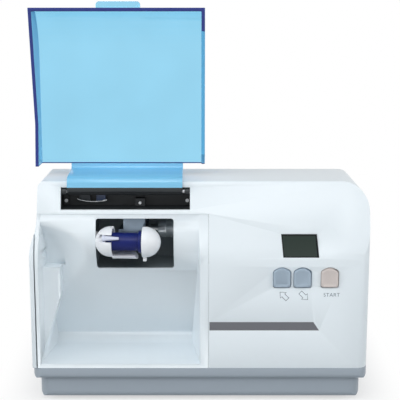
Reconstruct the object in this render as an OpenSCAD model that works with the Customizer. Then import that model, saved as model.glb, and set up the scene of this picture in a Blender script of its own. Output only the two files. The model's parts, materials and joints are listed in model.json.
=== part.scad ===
// Dental amalgamator (capsule mixer) with its lid swung open.
// X runs to the right, Y to the back, Z up. The origin is under the middle of the body.

/* [Housing] */
// Width of the housing
body_w = 240; // [232:1:260]
// Depth of the housing
body_d = 190; // [180:1:215]
// Height of the white shell above the tray
shell_h = 132.6; // [130:0.2:140]
// Wall of the white shell
wall = 2.6; // [2.2:0.1:3]
// Lean of the upper front face from upright
lean = 20.1; // [18:0.1:22]
// Distance of the top crease behind the front face
crease_y = 18.6; // [17:0.1:20]
// Depth of the flat top, crease to ridge
top_d = 70; // [60:1:80]
// Fall of the rear roof from level
roof_fall = 34; // [28:1:38]
// Rounding of the top right edge
edge_r = 20; // [16:1:24]
// Step in of the upper left side
left_step = 4.8; // [4:0.1:5.4]

/* [Base] */
// Height of the tray band
tray_h = 8.5; // [7:0.5:10]
// Height of the plinth under the band
plinth_h = 15.9; // [14:0.1:20]
// Step in of the plinth
plinth_in = 4.3; // [3.5:0.1:5]
// Wall of the tray
tray_wall = 3; // [2.5:0.1:4]
// Height of a foot below the plinth
foot_h = 2.6; // [2:0.1:4]
// Radius of a foot
foot_r = 9; // [7:0.5:11]

/* [Mixing bay] */
// Width of the control panel, right of the bay
panel_w = 120; // [118:0.5:124]
// Width of the rim left of the bay
rim_left = 6.1; // [5.8:0.1:7]
// Draft of each bay side over its depth
bay_draft = 6.6; // [5:0.1:8]
// Height of the bay floor above the tray
bay_floor = 3; // [2.8:0.1:5]
// Slope of the bay back wall from upright
bay_slope = 31; // [28:0.5:33]
// Width of the corner block at the left of the bay
block_w = 13.6; // [12:0.1:15]
// Distance of the corner block behind the front face
block_back = 12; // [11:0.1:14]
// Height of the corner block above the tray
block_h = 71.1; // [68:0.1:72]
// Width of the plain rim right of the bay
rim_w = 6; // [5:0.1:7]
// Distance of the window's top below the crease of the housing
window_drop = 25.2; // [24.6:0.1:27]
// Width of the window
window_w = 55; // [53:0.5:57]
// Height of the window
window_h = 37.4; // [36:0.1:38]

/* [Lid] */
// Length of the flat of the lid, hinge end to bend
lid_flat = 76.5; // [74:0.5:82]
// Radius of the bend at the free end
lid_bend_r = 43.8; // [40:0.2:48]
// Wall of the lid
lid_wall = 2.5; // [2.2:0.1:2.8]
// Overlap of the lid past each side of the bay
lid_over = 3.5; // [3.2:0.1:3.8]
// Angle through which the lid opens
lid_turn = 168; // [160:1:169]
// Width of the handle tab
tab_w = 31; // [24:1:40]
// Thickness of the strap that joins lid and barrel
strap_t = 2.2; // [1.8:0.1:2.4]

/* [Hinge] */
// Radius of the hinge barrel
barrel_r = 2.6; // [2.5:0.1:2.8]
// Radius of the hinge pin
pin_r = 1.5; // [1.2:0.1:1.6]
// Height of the slot in the front face
slot_h = 15.3; // [14.8:0.1:15.6]
// Height of the lip above the slot
lip_h = 4.3; // [4:0.1:4.6]

/* [Fork] */
// Radius of a cup
cup_r = 10.7; // [10:0.1:11.5]
// Distance between the faces of the cups
cup_gap = 21; // [20.5:0.1:22]
// Depth of the straight rim of a cup
cup_rim = 1.9; // [1.5:0.1:2.5]
// Length of the arm, motor axis to fork axis
arm_l = 48; // [46:0.5:50]
// Swing of the fork to either side
swing = 3.6; // [3:0.1:4]
// Radius of the capsule
capsule_r = 6.4; // [6:0.1:6.6]

/* [Drive] */
// Radius of the motor
motor_r = 27; // [24:0.5:28]
// Length of the motor
motor_l = 58; // [50:1:62]
// Radius of the motor shaft
shaft_r = 3; // [2.5:0.1:3.5]

/* [Controls] */
// Width of a key
key_w = 12.4; // [11:0.1:13]
// Height of a key
key_h = 14; // [12:0.5:15]
// How far a key stands out
key_out = 1.6; // [1.4:0.1:2.2]
// Play round a key
key_play = 0.25; // [0.2:0.05:0.4]
// Width of the display
lens_w = 25; // [22:0.5:26]
// Height of the display
lens_h = 16.4; // [14:0.2:17]
// Radius of the shallow dish beside the display
dish_r = 15; // [13:0.5:16]

/* [Hidden] */

eps = 0.01;
arc_step = 7;
seam = 0.15;
fit = 0.03;
behind_face = wall + 0.2;
far = 400;

white = [0.93, 0.95, 0.96];
tray_blue = [0.66, 0.71, 0.76];
lid_blue = [0.35, 0.74, 0.95, 0.55];
steel = [0.72, 0.73, 0.75];
black = [0.08, 0.08, 0.09];

// Levels and faces of the housing
z_tray = foot_h + plinth_h + tray_h;
z_top = z_tray + shell_h;
rocker_out = 3;
hub_back = 3.5;
fork_out = arm_l * cos(swing) + (cup_gap / 2 + cup_rim) * sin(swing) + cup_r - hub_back - arm_l;
y_front = -body_d / 2 + (fork_out - rocker_out) / 2;
y_back = y_front + body_d;
y_mid = (y_front + y_back) / 2;
x_side = body_w / 2;
y_crease = y_front + crease_y;
y_ridge = y_crease + top_d;

// Lean line of the upper front face, and its foot on the upright face
function lean_y(z, t = 0) = y_crease + t / cos(lean) - (z_top - z) * tan(lean);
z_lean = z_top - crease_y / tan(lean);

// Foot of the step in on the left, and rounding of the back corners
step_z = z_top - 45.7;
back_r = 22;

// Mixing bay, left of the control panel
bay_x1 = x_side - panel_w;
bay_x0 = -x_side + rim_left;
liner_wall = 2.2;
window_top = shell_h - window_drop;
liner_top = window_top + 2.8;
bay_front = 10;
nose_r = 25;
bay_corner_r = 6;
z_floor = z_tray + bay_floor;
window_x = (bay_x0 + bay_x1) / 2 + 10.85;
window_z = z_tray + window_top - window_h / 2;
window_r = 2;

// Foot of the bay back wall, and where it meets the lean line
y_wall_foot = y_front + 54.6;
function wall_y(z, t = 0) = y_wall_foot + t / cos(bay_slope) - (z - z_floor) * tan(bay_slope);
function nose_z(t) = (wall_y(0, t) - lean_y(0, t)) / (tan(lean) + tan(bay_slope));

// Hinge of the lid
slot_top = z_top - lip_h;
slot_z0 = slot_top - slot_h;
slot_x0 = bay_x0 + 15.3;
slot_x1 = bay_x1 - 7.1;
pivot = [y_crease + 0.2, slot_top - barrel_r - 0.5];
pin_play = 0.05;
lid_x0 = bay_x0 - lid_over;
lid_x1 = bay_x1 + lid_over;
lid_mid = (lid_x0 + lid_x1) / 2;
lid_lean = 12.2;
lid_gap = 0.6;
hinge_reach = 28;
hinge_dip = 24.5;
strap_x0 = slot_x0 + 4.8;
strap_x1 = slot_x1 - 5.3;
bracket_w = 3.6;

// Mixing mechanism
fork_z = window_z + 3.3;
motor_z = fork_z - 1;
rest_x = window_x - 4.45;
hub_x = rest_x + arm_l * sin(swing);
hub_y = y_front + hub_back + arm_l;
cup_wall = 1.8;

// Chassis plate over the tray, on four dampers
plate_z = z_tray + 7;
plate_t = 2;
damper_h = 10;
plate_x = [-x_side + 50, x_side - 16];
plate_y = [wall_y(plate_z) + 8, y_back - 26];
damper_xy = [for (x = [plate_x[0] + 10, plate_x[1] - 10], y = [plate_y[0] + 8, plate_y[1] - 8]) [x, y]];

// Rounded outlines: each point is [x, y, radius]
function unit(v) = v / norm(v);
function turned(v, a) = [v.x * cos(a) - v.y * sin(a), v.x * sin(a) + v.y * cos(a)];
function corner(a, p, b, r) =
    r <= 0 ? [p] :
    let (u = unit(a - p), v = unit(b - p), half = acos(u * v) / 2,
        c = p + unit(u + v) * r / sin(half), s = p + u * r / tan(half) - c,
        turn = -sign(cross(u, v)) * (180 - 2 * half),
        n = max(2, ceil(abs(turn) / arc_step)))
    [for (i = [0:n]) c + turned(s, turn * i / n)];
function flat2(p) = [p.x, p.y];
function rounded(p) = let (n = len(p))
    [for (i = [0:n - 1]) each corner(flat2(p[(i + n - 1) % n]), flat2(p[i]),
        flat2(p[(i + 1) % n]), p[i][2])];

// Extrusions: an outline in Y and Z run along X, and one in X and Z run along Y
module along_x(x0, x1) translate([x0, 0, 0]) rotate([90, 0, 90]) linear_extrude(x1 - x0) children();
module along_y(y0, y1) translate([0, y1, 0]) rotate([90, 0, 0]) linear_extrude(y1 - y0) children();
module box(x0, x1, y0, y1, z0, z1)
    translate([x0, y0, z0]) cube([x1 - x0, y1 - y0, z1 - z0]);
module rod_x(r, x0, x1, y, z) translate([x0, y, z]) rotate([0, 90, 0]) cylinder(r = r, h = x1 - x0, $fn = 64);
module rod_y(r, y0, y1, x, z) translate([x, y1, z]) rotate([90, 0, 0]) cylinder(r = r, h = y1 - y0, $fn = 48);
module rod_z(r, z0, z1, x, y) translate([x, y, z0]) cylinder(r = r, h = z1 - z0, $fn = 48);
module round_rect(w, h, r) polygon(rounded([[-w / 2, -h / 2, r], [w / 2, -h / 2, r],
    [w / 2, h / 2, r], [-w / 2, h / 2, r]]));

// Side outline of the white shell, moved in by t
module shell_side(t) polygon(rounded([
    [y_front + t, z_tray - (t > 0 ? 1 : 0), 0],
    [y_back - t, z_tray - (t > 0 ? 1 : 0), 0],
    [y_back - t, z_top - (y_back - t - y_ridge) * tan(roof_fall) - t / cos(roof_fall), 28 - t],
    [y_ridge - t * (1 / cos(roof_fall) - 1) / tan(roof_fall), z_top - t, 70 - t],
    [y_crease + t / cos(lean) - t * tan(lean), z_top - t, 1],
    [y_front + t, z_lean - t * (1 / cos(lean) - 1) / tan(lean), 38]]));

// Front outline, with the step in of the upper left side
module shell_front(t) polygon(rounded([
    [-x_side + t, z_tray - 2, 0],
    [x_side - t, z_tray - 2, 0],
    [x_side - t, z_top - t, edge_r - t],
    [-x_side + left_step + t, z_top - t, 5 - t],
    [-x_side + left_step + t, step_z + 15.4, 40],
    [-x_side + t, step_z, 40]]));

// Plan outline
module shell_plan(t) polygon(rounded([
    [-x_side + t, y_front + t, 1], [x_side - t, y_front + t, 8 - t],
    [x_side - t, y_back - t, back_r - t], [-x_side + t, y_back - t, back_r - t]]));

module shell_solid(t) intersection() {
    along_x(-x_side, x_side) shell_side(t);
    along_y(y_front, y_back) shell_front(t);
    translate([0, 0, z_tray - 2]) linear_extrude(shell_h + 4) shell_plan(t);
}

// Bay side outline, grown by t into the material, up to height z1
module bay_side(t, z1) polygon(rounded([
    [y_front - bay_front, z_floor - t, 0],
    [wall_y(z_floor - t, t), z_floor - t, bay_corner_r + t],
    [lean_y(nose_z(t), t), nose_z(t), nose_r - t],
    [lean_y(z1, t), z1, 0],
    [y_front - bay_front, z1, 0]]));
module bay_plan(t) polygon([
    [bay_x0 - t, y_front - bay_front], [bay_x1 + t, y_front - bay_front],
    [bay_x1 + t, y_front], [bay_x1 + t - bay_draft, y_wall_foot + t + 1],
    [bay_x0 - t + bay_draft, y_wall_foot + t + 1], [bay_x0 - t, y_front]]);
module bay_space(t, z1) difference() {
    intersection() {
        union() {
            along_x(bay_x0 - 10, bay_x1 + 10) bay_side(t, z1);
            along_x(bay_x0 - 10, pocket_x1 + t) pocket_side(t);
        }
        translate([0, 0, z_tray - 5]) linear_extrude(shell_h) bay_plan(t);
    }
    corner_block(t);
}
// Block in the left corner, shrunk by t: it narrows to nothing at the floor
block_x1 = bay_x0 + block_w;
block_z = z_tray + block_h;
block_narrow = block_z - 21;
module corner_block(t) along_y(y_front + block_back + t, y_wall_foot + 20) polygon([
    [bay_x0 - 20, z_floor - 10], [bay_x0 - 3.7 - t, z_floor - 10],
    [block_x1 - t, block_narrow], [block_x1 - t, block_z - t], [bay_x0 - 20, block_z - t]]);
// Pocket above the block, under the overhang of the back wall, grown by t
pocket_x1 = block_x1 + 3;
pocket_d = 24;
pocket_rise = 16;
function pocket_off(t) = let (n = unit([pocket_rise, pocket_d - 2.5])) [n.x * t, n.y * t];
module pocket_side(t) polygon([
    [y_front, block_z - t],
    [y_front + pocket_d + pocket_off(t).x + (t + pocket_off(t).y) * (pocket_d - 2.5) / pocket_rise, block_z - t],
    [y_front + 2.5 + pocket_off(t).x, block_z + pocket_rise + pocket_off(t).y],
    [y_front, block_z + pocket_rise]]);
module window_cut(grow) along_y(y_front - 20, y_front + 60)
    translate([window_x, window_z]) round_rect(window_w + 2 * grow, window_h + 2 * grow, window_r);

// White shell: thin walls, open below, with the bay, the slot and the controls cut out
boss_in = 14;
boss_xy = [[x_side - boss_in, y_front + boss_in], [x_side - boss_in, y_back - boss_in - 2],
    [-x_side + boss_in, y_back - boss_in - 2], [-x_side + boss_in, y_front + 76]];
boss_r = 6;
screw_r = 1.9;
boss_h = 24;

tilt = 17.8;
lens_x = x_side - 49.6;
lens_z = z_top - 43.6;
lens_t = 2.2;
lens_play = 0.15;
module_rim = 2.6;
module_t = 3.6;
board_t = 1.6;
lens_y = lean_y(lens_z) + 0.9;
module on_face() translate([lens_x, lens_y, lens_z]) rotate([-tilt, 0, 0]) children();
module lens_block(grow, depth, front) translate([-lens_w / 2 - grow, front, -lens_h / 2 - grow])
    cube([lens_w + 2 * grow, depth, lens_h + 2 * grow]);

key_pitch = key_w + 2;
key_x = [lens_x - 12.6, lens_x - 12.6 + key_pitch, lens_x + 21];
key_z = z_lean - 15.1;
key_travel = 1;
key_flange = 0.8;
module key_outline(grow) translate([0, key_z]) polygon(rounded([
    [-key_w / 2 - grow, -key_h / 2 - grow, 1.6], [key_w / 2 + grow, -key_h / 2 - grow, 1.6],
    [key_w / 2 + grow, key_h / 2 - 2 + grow, 3], [0, key_h / 2 + 1.2 + grow, 7],
    [-key_w / 2 - grow, key_h / 2 - 2 + grow, 3]]));

stripe_x0 = bay_x1 + rim_w + 0.7;
stripe_x1 = x_side - 35.4;
stripe_z = z_tray + 28.1;
stripe_h = 6.2;
stripe_t = 0.3;
module stripe_outline() polygon([[stripe_x0, stripe_z], [stripe_x1, stripe_z],
    [stripe_x1 - 4.2, stripe_z + stripe_h], [stripe_x0, stripe_z + stripe_h]]);

dish_depth = 1.5;
dish_x = lens_x + 15.6;
dish_z = lens_z + 1.5;
dish_ball = (dish_r * dish_r + dish_depth * dish_depth) / (2 * dish_depth);
module dish() translate([dish_x, lean_y(dish_z), dish_z]) rotate([-lean, 0, 0])
    translate([0, dish_depth - dish_ball, 0]) sphere(r = dish_ball, $fn = 96);

// Back fittings: inlet, fuse drawer and mains switch in one row
inlet_size = [28, 20];
inlet_rim = 3;
fuse_size = [14, 14];
fuse_rim = 1.5;
frame_size = [19, 13];
frame_rim = 2;
back_play = 0.2;
switch_x = x_side - back_r - frame_size.x / 2 - 0.5;
inlet_x = switch_x - frame_size.x / 2 - frame_rim - 2 - inlet_rim - inlet_size.x / 2;
fuse_x = inlet_x - inlet_size.x / 2 - inlet_rim - 1 - fuse_rim - fuse_size.x / 2;
back_z = z_tray + 24;
vent_n = 6;
vent_pitch = 7;
vent_x = -x_side + 40;
module back_plate(x, size, grow, r, y0, y1) along_y(y_back + y0, y_back + y1) translate([x, back_z])
    polygon(rounded([for (c = [[-1, -1], [1, -1], [1, 1], [-1, 1]])
        [c.x * (size.x / 2 + grow), c.y * (size.y / 2 + grow), r]]));

module upper_housing() color(white) difference() {
    union() {
        difference() {
            shell_solid(0);
            shell_solid(wall);
        }
        intersection() {
            shell_solid(wall / 2);
            for (p = boss_xy) {
                rod_z(boss_r, z_tray + 0.2, z_tray + boss_h, p.x, p.y);
                box(min(p.x, sign(p.x) * x_side), max(p.x, sign(p.x) * x_side), p.y - 1.2, p.y + 1.2,
                    z_tray + 0.2, z_tray + boss_h - 2);
            }
        }
    }
    intersection() {
        along_x(bay_x0 - liner_wall - 0.9, bay_x1 + rim_w + seam)
            bay_side(behind_face, z_tray + liner_top + seam);
        box(bay_x0 - liner_wall - 0.9, bay_x1 + rim_w + seam, y_front - 20, y_front + 80,
            z_tray - 1, z_tray + liner_top + seam);
    }
    box(bay_x0 - liner_wall - 0.9, bay_x1 + rim_w + seam, y_front - 5, y_wall_foot + 4,
        z_tray - 1, z_floor - liner_wall);
    box(slot_x0, slot_x1, y_front, y_crease + 10, slot_z0, slot_top);
    on_face() lens_block(lens_play, 12, -4);
    on_face() lens_block(module_rim + lens_play, 12, lens_t);
    for (x = key_x) translate([x, 0, 0]) along_y(y_front - 5, y_front + wall + 3) key_outline(key_play);
    along_y(y_front - 1, y_front + stripe_t) stripe_outline();
    dish();
    for (p = boss_xy) rod_z(screw_r + 0.05, z_tray - 1, z_tray + boss_h - 3, p.x, p.y);
    back_plate(inlet_x, inlet_size, back_play, 0, -10, 5);
    back_plate(fuse_x, fuse_size, back_play, 0, -10, 5);
    back_plate(switch_x, frame_size, back_play, 0, -10, 5);
    for (i = [0:vent_n - 1]) along_y(y_back - 10, y_back + 5)
        translate([vent_x, z_tray + 12 + i * vent_pitch]) round_rect(56, 3, 1.4);
}

// Bay insert: floor, two drafted sides, the sloping back and the rims that show in front
module bay_liner() color(white) difference() {
    union() {
        intersection() {
            bay_space(liner_wall, z_tray + liner_top);
            shell_solid(0);
        }
        intersection() {
            difference() {
                shell_solid(0);
                shell_solid(liner_wall);
            }
            union() {
                intersection() {
                    along_x(bay_x0 - liner_wall, bay_x1 + rim_w) bay_side(liner_wall, z_tray + liner_top);
                    box(-far, far, y_front, y_wall_foot, z_tray, z_tray + liner_top);
                }
                box(bay_x0 - liner_wall, bay_x1 + rim_w, y_front, y_front + liner_wall, z_tray, z_floor);
            }
        }
    }
    bay_space(0, z_tray + liner_top + 5);
    window_cut(0);
}

foot_seat = 1.6;
foot_in = 22;
foot_xy = [for (x = [-1, 1], y = [-1, 1])
    [x * (x_side - plinth_in - foot_in), y_mid + y * (body_d / 2 - plinth_in - foot_in)]];
// Grey tray: band with rounded foot edge, and the plinth stepped in below it
module rounded_slab(w, d, r, z0, z1) translate([0, y_mid, z0]) linear_extrude(z1 - z0) round_rect(w, d, r);
module base_tray() color(tray_blue) difference() {
    union() {
        intersection() {
            rounded_slab(body_w, body_d, 8, foot_h + plinth_h, z_tray);
            along_y(y_front, y_back) polygon(rounded([
                [-x_side, z_tray, 0], [x_side, z_tray, 0],
                [x_side, foot_h + plinth_h, 4], [-x_side, foot_h + plinth_h, 4]]));
            along_x(-x_side, x_side) polygon(rounded([
                [y_front, z_tray, 0], [y_back, z_tray, 0],
                [y_back, foot_h + plinth_h, 4], [y_front, foot_h + plinth_h, 4]]));
        }
        intersection() {
            rounded_slab(body_w - 2 * plinth_in, body_d - 2 * plinth_in, 8, foot_h, z_tray - 3);
            along_y(y_front, y_back) polygon(rounded([
                [-x_side + plinth_in, z_tray, 0], [x_side - plinth_in, z_tray, 0],
                [x_side - plinth_in, foot_h, 6], [-x_side + plinth_in, foot_h, 6]]));
            along_x(-x_side, x_side) polygon(rounded([
                [y_front + plinth_in, z_tray, 0], [y_back - plinth_in, z_tray, 0],
                [y_back - plinth_in, foot_h, 6], [y_front + plinth_in, foot_h, 6]]));
        }
    }
    difference() {
        rounded_slab(body_w - 2 * (plinth_in + tray_wall), body_d - 2 * (plinth_in + tray_wall), 6,
            foot_h + tray_wall, z_tray + 1);
        for (p = boss_xy) rod_z(boss_r - 0.5, foot_h, z_tray, p.x, p.y);
        for (p = foot_xy) rod_z(foot_r + 2, foot_h, foot_h + foot_seat + tray_wall, p.x, p.y);
        for (p = damper_xy) rod_z(9, foot_h, plate_z - damper_h, p.x, p.y);
    }
    for (p = boss_xy) {
        rod_z(screw_r + 0.15, foot_h - 1, z_tray + 1, p.x, p.y);
        rod_z(3.8, foot_h - 1, foot_h + 4, p.x, p.y);
    }
    for (p = foot_xy) rod_z(foot_r - 1, foot_h - 1, foot_h + foot_seat, p.x, p.y);
}

// Feet: a stub pressed into the plinth and a wider pad below it
module rubber_feet() color(black) for (p = foot_xy) {
    rod_z(foot_r, 0, foot_h, p.x, p.y);
    rod_z(foot_r - 1.1, foot_h - eps, foot_h + foot_seat - 0.1, p.x, p.y);
}

module case_screws() color(steel) for (p = boss_xy) difference() {
    union() {
        rod_z(3.5, foot_h + 1.6, foot_h + 4, p.x, p.y);
        rod_z(screw_r, foot_h + 4 - eps, z_tray + boss_h - 6, p.x, p.y);
    }
    box(p.x - 2, p.x + 2, p.y - 0.4, p.y + 0.4, foot_h, foot_h + 2.6);
    box(p.x - 0.4, p.x + 0.4, p.y - 2, p.y + 2, foot_h, foot_h + 2.6);
}

// Slot behind the front face: black trough, brackets, pin and screws
trough_t = 1.4;
trough_y = pivot.x + 13.2;
trough_end = 1.2;
module trough_wall(t) intersection() {
    box(slot_x0 - trough_end - t, slot_x1 + trough_end + t, y_front, trough_y + t,
        slot_z0 - 0.3 - t, z_top - wall - 0.2);
    difference() {
        box(-far, far, y_front, trough_y + 20, z_tray, z_top);
        along_x(-far, far) polygon([[y_front - 20, 0], [y_front - 20, z_top + 20],
            [lean_y(z_top + 20, wall + 0.2), z_top + 20], [lean_y(0, wall + 0.2), 0]]);
    }
}
module slot_trough() color(black) difference() {
    trough_wall(trough_t);
    trough_wall(0);
    box(slot_x0, slot_x1, y_front, pivot.x, slot_z0, slot_top);
}

bracket_x = [slot_x0 + 0.3, slot_x1 - 0.3 - bracket_w];
module hinge_brackets() color(black) for (x = bracket_x) difference() {
    union() {
        rod_x(barrel_r, x, x + bracket_w, pivot.x, pivot.y);
        box(x, x + bracket_w, pivot.x, trough_y - 0.02, pivot.y - barrel_r, pivot.y + barrel_r);
        box(x, x + bracket_w, trough_y - 2.6, trough_y - 0.02, slot_z0 + 0.6, slot_top - 0.5);
    }
    rod_x(pin_r, x - 1, x + bracket_w + 1, pivot.x, pivot.y);
    rod_y(0.75, trough_y - 4, trough_y + 1, x + bracket_w / 2, slot_z0 + 3.6);
}
module bracket_screws() color(steel) for (x = bracket_x) {
    rod_y(1.25, trough_y - 3.6, trough_y - 2.6, x + bracket_w / 2, slot_z0 + 3.6);
    rod_y(0.7, trough_y - 2.7, trough_y - 0.1, x + bracket_w / 2, slot_z0 + 3.6);
}
module hinge_pin() color(steel)
    rod_x(pin_r - 0.005, bracket_x[0] + 0.2, bracket_x[1] + bracket_w - 0.2, pivot.x, pivot.y);

// Lid: drawn closed in front of the bay, then swung open about the pin
lid_end_turn = 48.9;
hinge_end = [pivot.x - hinge_reach * cos(hinge_dip), pivot.y - hinge_reach * sin(hinge_dip)];
lid_end_z = -lid_flat - (lid_bend_r + lid_wall) * sin(lid_end_turn);
module opened() translate([0, pivot.x, pivot.y]) rotate([-lid_turn, 0, 0])
    translate([0, -pivot.x, -pivot.y]) children();
module on_lid() translate([0, hinge_end.x, hinge_end.y]) rotate([-lid_lean, 0, 0]) children();
function bend(r, a0, a1) = let (n = ceil((a1 - a0) / arc_step))
    [for (i = [0:n]) let (a = a0 + (a1 - a0) * i / n)
        [lid_bend_r - r * cos(a), -lid_flat - r * sin(a)]];
module lid_outline(t, over) polygon(concat([[-t, over]],
    bend(lid_bend_r + t, 0, lid_end_turn), [[60, lid_end_z], [60, over]]));
module body_front(gap, z1) polygon([
    [y_front - gap, -20],
    [y_front - gap, z_top - (y_crease - gap / cos(lean) - y_front + gap) / tan(lean)],
    [lean_y(z1, -gap), z1], [y_back, z1], [y_back, -20]]);
trim_l = 15;
trim_d = 4;
module lid_hood() color(lid_blue) opened() difference() {
    on_lid() difference() {
        along_x(lid_x0, lid_x1) lid_outline(lid_wall, 0);
        along_x(lid_x0 + lid_wall, lid_x1 - lid_wall) intersection() {
            lid_outline(0, 1);
            translate([-5, lid_end_z + lid_wall]) square([100, 200]);
        }
        along_x(lid_x1 - lid_wall - 1, lid_x1 + 1)
            polygon([[trim_d, 1], [trim_d, 0], [trim_d + 20, -trim_l], [60, -trim_l], [60, 1]]);
    }
    along_x(lid_x0 - 1, lid_x1 + 1) body_front(lid_gap, z_top + 20);
}
tab_out = 4.4;
module lid_handle() color(lid_blue) opened() on_lid()
    translate([0, lid_bend_r - (lid_bend_r + lid_wall) * cos(lid_end_turn) + 0.6, lid_end_z])
    along_y(0, lid_wall) translate([lid_mid, 0]) polygon(rounded([
        [-tab_w / 2, -tab_out, 2.6], [tab_w / 2, -tab_out, 2.6],
        [tab_w / 2, -eps / 2, 0], [-tab_w / 2, -eps / 2, 0]]));

// Strap: bent plate from the hood round the lip to the barrel on the pin, drawn open
function path(p) = [for (i = [0:len(p) - 1]) each
    (i == 0 || i == len(p) - 1) ? [flat2(p[i])] :
    corner(flat2(p[i - 1]), flat2(p[i]), flat2(p[i + 1]), p[i][2])];
function normal(c, i) = let (d = unit(c[min(i + 1, len(c) - 1)] - c[max(i - 1, 0)])) [-d.y, d.x];
function strip(c, t) = concat([for (i = [0:len(c) - 1]) c[i] + normal(c, i) * t / 2],
    [for (i = [len(c) - 1:-1:0]) c[i] - normal(c, i) * t / 2]);
open_end = turned(hinge_end - pivot, -lid_turn);
strap_path = path([[-1.9, 0.2, 0], [-5.6, 0.9, 2.2], [-4.6, 9.7, 4], [11, 11, 9],
    [open_end.x + lid_wall / 2, open_end.y - 4.8, 3.4], [open_end.x + lid_wall / 2, open_end.y - 0.02, 0]]);
module lid_strap() color(lid_blue) difference() {
    union() {
        translate([0, pivot.x, pivot.y]) along_x(strap_x0, strap_x1) polygon(strip(strap_path, strap_t));
        rod_x(barrel_r, strap_x0, strap_x1, pivot.x, pivot.y);
    }
    rod_x(pin_r + pin_play, strap_x0 - 1, strap_x1 + 1, pivot.x, pivot.y);
}

// Black box behind the window, open in front, with a hole for the motor boss
shroud_x = [window_x - window_w / 2 - 4, window_x + window_w / 2 + 4];
shroud_z = [window_z - window_h / 2 - 5.5, slot_z0 - 0.3 - trough_t - 0.3];
shroud_t = 1.6;
shroud_y = hub_y + 23;
boss_out = 6.7;
boss_x0 = hub_x + 16.5;
module window_shroud() color(black) difference() {
    box(shroud_x[0] - shroud_t, shroud_x[1] + shroud_t, y_front, shroud_y,
        shroud_z[0] - shroud_t, shroud_z[1]);
    box(shroud_x[0], shroud_x[1], y_front - 20, shroud_y - shroud_t, shroud_z[0], shroud_z[1] - shroud_t);
    along_x(-far, far) bay_side(behind_face + 0.1, z_tray + shell_h);
    rod_x(boss_out + 0.4, shroud_x[1] - 5, shroud_x[1] + 5, hub_y, motor_z);
}

// Fork frame: origin at the hub, the fork axis arm_l in front, turned to the left limit
module rocking() translate([hub_x, hub_y, 0]) rotate([0, 0, -swing]) children();
hub_half = 8.5;
hub_out = 13;
race_out = 9.5;
ball_r = 6.2;
arm_w = 12;
arm_h = 12;
carrier_y = -arm_l + 15.6;
carrier_t = 5;
guide_r = 2;
cup_x = cup_gap / 2;

module fork_arm() color([0.80, 0.81, 0.83]) rocking() difference() {
    union() {
        rod_x(hub_out, -hub_half, hub_half, 0, motor_z);
        hull() {
            box(-arm_w / 2, arm_w / 2, -8, -7, motor_z - arm_h / 2 - 2, motor_z + arm_h / 2 + 4);
            box(-hub_half, hub_half, carrier_y + carrier_t / 2, carrier_y + carrier_t / 2 + 1,
                fork_z - arm_h / 2, fork_z + arm_h / 2);
        }
        box(-hub_half, hub_half, carrier_y - carrier_t / 2, carrier_y + carrier_t / 2 + eps,
            fork_z - 8.5, fork_z + 6);
        box(-5, 10.6, carrier_y - carrier_t / 2 + 0.2, carrier_y + carrier_t / 2 - 0.3, fork_z + 5.8, fork_z + 14.6);
        box(-hub_half - 4, hub_half - 5, carrier_y - 6.7, carrier_y + eps, fork_z - cup_r + 0.1, fork_z - 6);
    }
    rod_x(race_out, -hub_half - 1, hub_half + 1, 0, motor_z);
    rod_x(guide_r + 0.04, -hub_half - 6, hub_half + 1, carrier_y, fork_z);
}
module arm_bearing() color(steel) rocking() difference() {
    rod_x(race_out - 0.01, -6, 6, 0, motor_z);
    rod_x(ball_r + 0.06, -7, 7, 0, motor_z);
}

// Half dome with a straight rim and a hollow, its mouth towards +X, and a pad at depth pad_x
function quarter(r, a0) = [for (i = [0:12]) let (a = a0 * i / 12) [r * cos(a), r * sin(a)]];
module cup(pad_x) {
    inner = cup_r - cup_wall;
    outline = concat([[cup_r, -cup_rim]], quarter(cup_r, 90), [[0, pad_x], [pad_r, pad_x]],
        [for (i = [12:-1:0]) quarter(inner, acos(pad_r / inner))[i]], [[inner, -cup_rim]]);
    rotate([0, -90, 0]) rotate_extrude($fn = 96) polygon(outline);
}
pad_r = 4.6;
nozzle_z = 3.9;
nozzle_y = -7.4;
capsule_gap = 2.6;
plunger_gap = 1.1;
capsule_x0 = -cup_x - cup_rim - capsule_gap;
module fork_axis() rocking() translate([0, -arm_l, fork_z]) children();
module fixed_cup() color("white") fork_axis() difference() {
    translate([-cup_x - cup_rim, 0, 0]) cup(capsule_gap);
    box(-cup_x - cup_rim - cup_r, -cup_x + 1, -cup_r - 1, -3, nozzle_z - 2.5, nozzle_z + 2.5);
    box(-cup_x - cup_rim + 0.4, -cup_x + 1, -2.4, 2.4, cup_r - 3, cup_r + 1);
}
bed_out = cup_r + 1.1;
bed_wall = 2.4;
bed_x1 = 7.2;
module fork_bed() color("white") fork_axis() difference() {
    rod_x(bed_out, -cup_x + 0.02, bed_x1, 0, 0);
    rod_x(bed_out - bed_wall, -cup_x - 1, bed_x1 + 2, 0, 0);
    box(-cup_x - 1, bed_x1 + 2, -bed_out - 1, 0, 3 - bed_out, bed_out + 1);
    box(-cup_x - 1, bed_x1 + 2, -eps, bed_out + 1, -capsule_r, bed_out + 1);
    box(-cup_x - 1, bed_x1 + 2, bed_out / 2, bed_out + 1, -bed_out - 1, 0);
    translate([bed_x1, 0, -bed_out]) rotate([0, -35, 0]) box(0, 9, -bed_out - 1, bed_out + 1, -6, 12);
}
jaw_travel = 2.5;
spring_len = 9;
guide_x0 = -hub_half - 4 - spring_len - jaw_travel;
module sprung_cup() color("white") fork_axis() {
    translate([cup_x + cup_rim, 0, 0]) rotate([0, 0, 180]) cup(plunger_gap);
    box(cup_x + 0.02, cup_x + 3.4, cup_r - 1.3, arm_l + carrier_y + 3.2, -3.2, 3.2);
    box(cup_x + 0.3, cup_x + 2.6, -2.6, 1, -cup_r - 2.6, -cup_r + 1);
    rod_x(guide_r, guide_x0, cup_x + 1, arm_l + carrier_y, 0);
    rod_x(3.6, guide_x0 - 1.4, guide_x0 + eps, arm_l + carrier_y, 0);
}

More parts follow.
